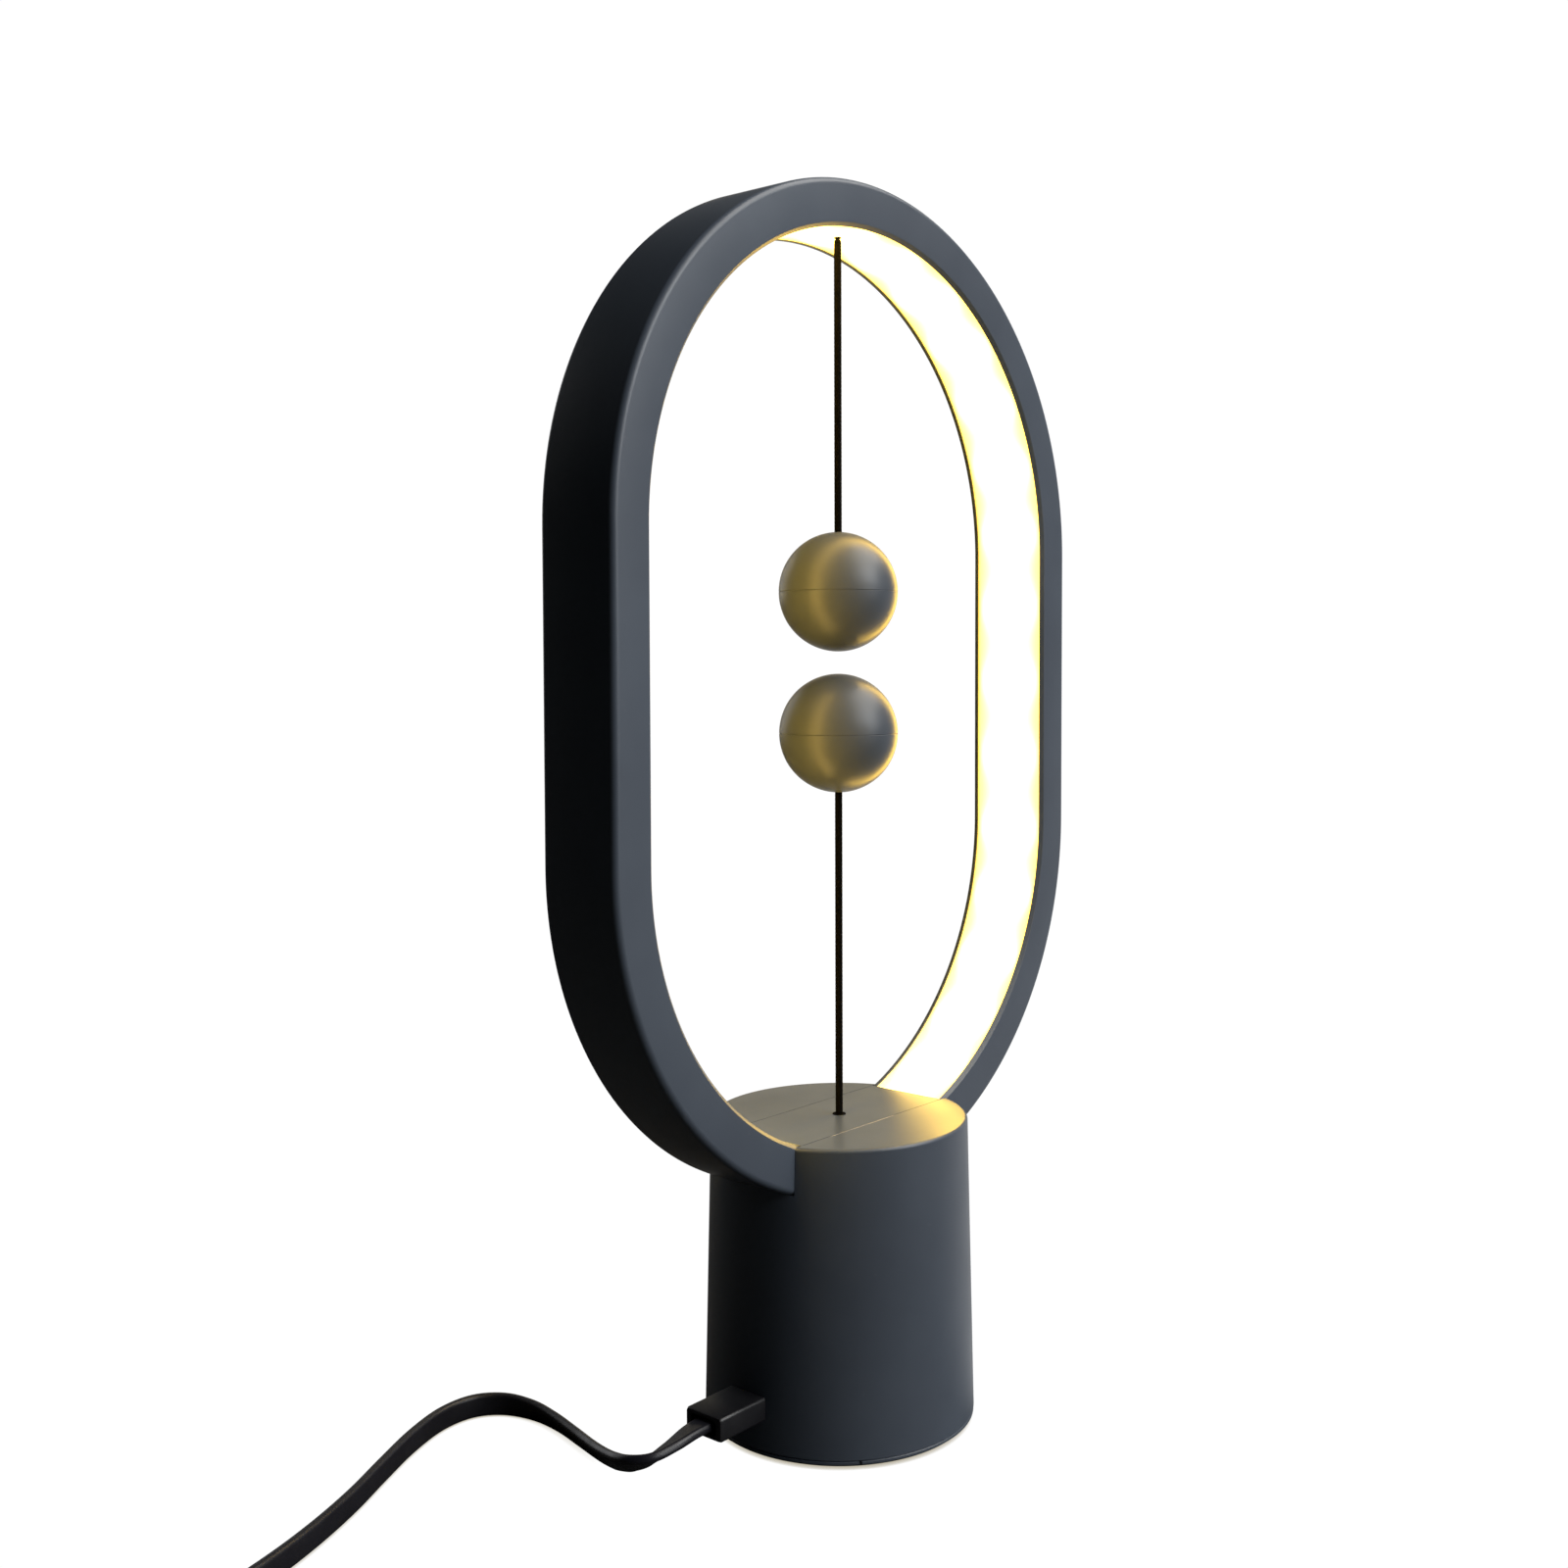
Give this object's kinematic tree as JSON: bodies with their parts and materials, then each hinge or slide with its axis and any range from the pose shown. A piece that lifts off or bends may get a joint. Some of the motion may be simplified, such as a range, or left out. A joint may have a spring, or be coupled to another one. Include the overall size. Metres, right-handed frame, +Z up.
{
  "type": "magnetic balance lamp",
  "caption": "Round base with a lit stadium loop; a ball hung from its top holds a ball on a cord from the base in mid air, and the lower cord works the switch.",
  "frame": {"origin": "middle of the foot pad, on the surface the lamp stands on", "axes": "+Z up, X across the loop, Y through the loop from front to back; the lead leaves towards -X"},
  "size_m": [0.3526, 0.128, 0.353],
  "materials": {
    "soft_touch": "soft-touch satin slate grey",
    "diffuser_white": "opal plastic, lit warm white from behind",
    "led_tape": "flexible tape with copper pads",
    "led_chip": "phosphor coated chips",
    "white_plastic": "plain moulded nylon",
    "braided_cord": "tight black braid",
    "nickel": "bright nickel plate",
    "steel": "zinc plated steel",
    "switch_black": "black moulded case",
    "board": "green solder mask",
    "board_parts": "moulded parts on the board",
    "wire": "thin insulated wires",
    "lead_jacket": "satin black jacket",
    "foam": "closed cell foam pad",
    "bushing_black": "smooth black nylon"
  },
  "bodies": {
    "lamp": {"loop_frame": "soft_touch", "diffuser": "diffuser_white", "led_strip": "led_tape", "led_chips": "led_chip", "cord_anchor": "white_plastic", "upper_cord_stub": "braided_cord", "base_shell": "soft_touch", "top_deck": "soft_touch", "cord_bushing": "bushing_black", "frame_screws": "steel", "frame_nuts": "steel", "plunger_spring": "steel", "plunger_guide": "white_plastic", "guide_screws": "steel", "microswitch_body": "switch_black", "ballast_disc": "steel", "base_plate": "soft_touch", "plate_screws": "steel", "foot_pad": "foam", "circuit_board": "board", "board_parts": "board_parts", "board_screws": "steel", "usb_socket": "nickel", "led_wires": "wire", "switch_wires": "wire"},
    "upper_knuckle": {"upper_cord_pivot": "braided_cord"},
    "upper_pendulum": {"upper_cord": "braided_cord", "upper_ball_top": "soft_touch", "upper_ball_bottom": "soft_touch", "upper_magnet_cup": "white_plastic", "upper_magnet": "nickel"},
    "lower_knuckle": {"lower_cord_pivot": "braided_cord"},
    "lower_stem": {"lower_cord": "braided_cord"},
    "lower_ball": {"lower_ball_knot": "braided_cord", "lower_ball_top": "soft_touch", "lower_ball_bottom": "soft_touch", "lower_magnet_cup": "white_plastic", "lower_magnet": "nickel"},
    "plunger": {"switch_plunger": "white_plastic", "cord_tail": "braided_cord"},
    "lever": {"switch_lever": "steel"},
    "button": {"switch_button": "white_plastic"},
    "supply_lead": {"lamp_plug_housing": "lead_jacket", "lamp_plug_tip": "nickel", "lead_stretch": "lead_jacket", "lead_coil": "lead_jacket", "lead_tail": "lead_jacket", "lead_tie": "foam", "usb_a_housing": "lead_jacket", "usb_a_shell": "nickel", "usb_a_tongue": "white_plastic"}
  },
  "joints": [
    {"name": "upper_swing_x", "type": "hinge", "parent": "lamp", "child": "upper_knuckle", "pos_m": [0, 0, 0.3389], "axis": [1, 0, 0], "range_deg": [-60, 60]},
    {"name": "upper_swing_y", "type": "hinge", "parent": "upper_knuckle", "child": "upper_pendulum", "pos_m": [0, 0, 0.3389], "axis": [0, 1, 0], "range_deg": [-40, 40]},
    {"name": "lower_sway_x", "type": "hinge", "parent": "lamp", "child": "lower_knuckle", "pos_m": [0, 0, 0.088], "axis": [1, 0, 0], "range_deg": [-5, 5], "stiffness_Nm_per_rad": 0.1},
    {"name": "lower_sway_y", "type": "hinge", "parent": "lower_knuckle", "child": "lower_stem", "pos_m": [0, 0, 0.088], "axis": [0, 1, 0], "range_deg": [-5, 5], "stiffness_Nm_per_rad": 0.1},
    {"name": "lower_drop", "type": "slide", "parent": "lower_stem", "child": "lower_ball", "axis": [0, 0, 1], "range_m": [-0.09355, 0], "deforming": ["lower_cord"]},
    {"name": "plunger_slide", "type": "slide", "parent": "lamp", "child": "plunger", "axis": [0, 0, 1], "range_m": [-0.003, 0], "deforming": ["plunger_spring"]},
    {"name": "lever_pivot", "type": "hinge", "parent": "lamp", "child": "lever", "pos_m": [0.0205, 0, 0.0469], "axis": [0, 1, 0], "range_deg": [-14.5, 0]},
    {"name": "button_slide", "type": "slide", "parent": "lamp", "child": "button", "axis": [0, 0, 1], "range_m": [-0.0007, 0]},
    {"name": "plug_pull", "type": "slide", "parent": "lamp", "child": "supply_lead", "axis": [-1, 0, 0], "range_m": [0, 0.012]}
  ],
  "couplings": [
    {"joint": "plunger_slide", "follows": "lower_drop", "ratio": 0.03206},
    {"joint": "lever_pivot", "follows": "lower_drop", "rad_per_m": 2.704},
    {"joint": "button_slide", "follows": "lower_drop", "ratio": 0.0074}
  ]
}
